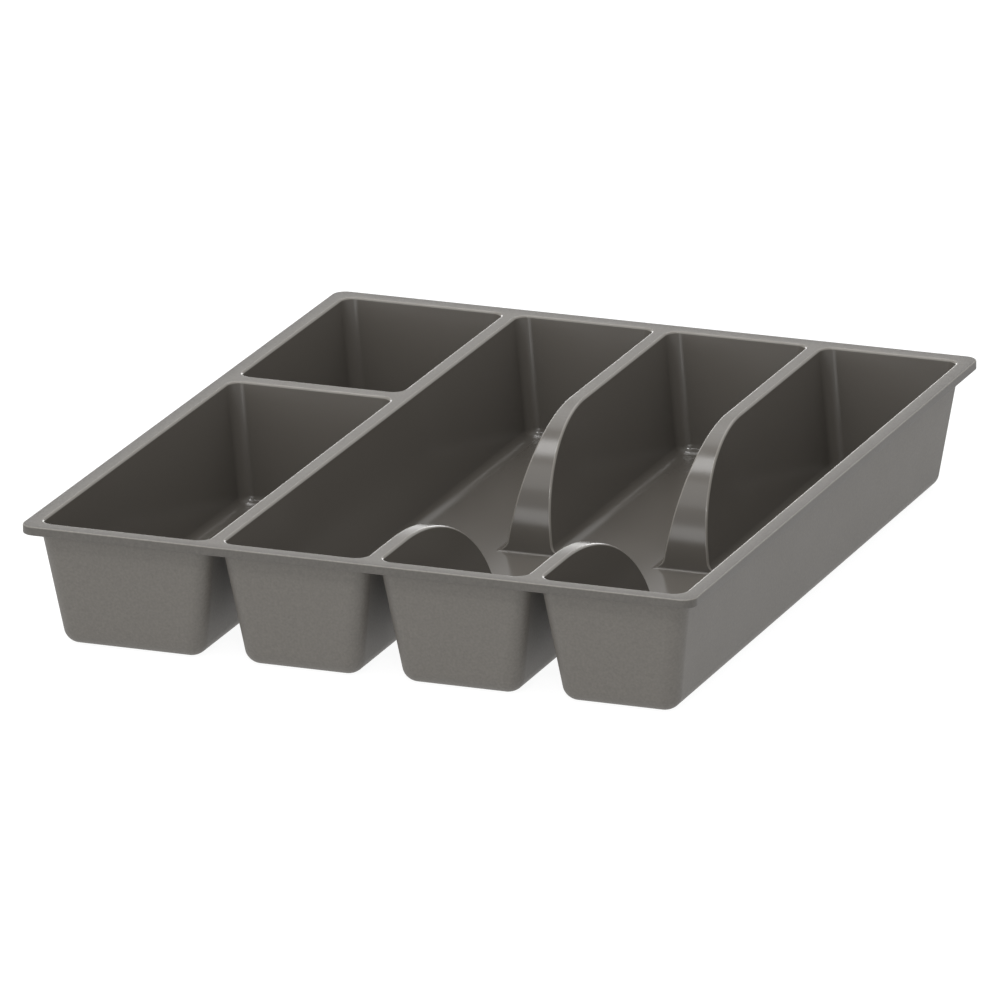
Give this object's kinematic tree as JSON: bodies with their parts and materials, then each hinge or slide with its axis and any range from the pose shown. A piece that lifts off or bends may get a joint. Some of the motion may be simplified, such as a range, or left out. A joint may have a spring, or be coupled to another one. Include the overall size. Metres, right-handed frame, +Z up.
{
  "type": "drawer organizer tray",
  "caption": "Moulded plastic drawer organizer insert with long drafted pockets, a turned-down rim, and scoops that open two dividers down to the floor.",
  "frame": {"origin": "on the drawer floor, under the middle of the rim", "axes": "+X to the right along the front edge, +Y to the back along the long pockets, +Z up"},
  "size_m": [0.26, 0.31, 0.0475],
  "materials": {
    "grey_plastic": "warm grey polypropylene, finely textured outside and satin inside"
  },
  "bodies": {
    "root": {"tray": "grey_plastic"}
  },
  "joints": []
}
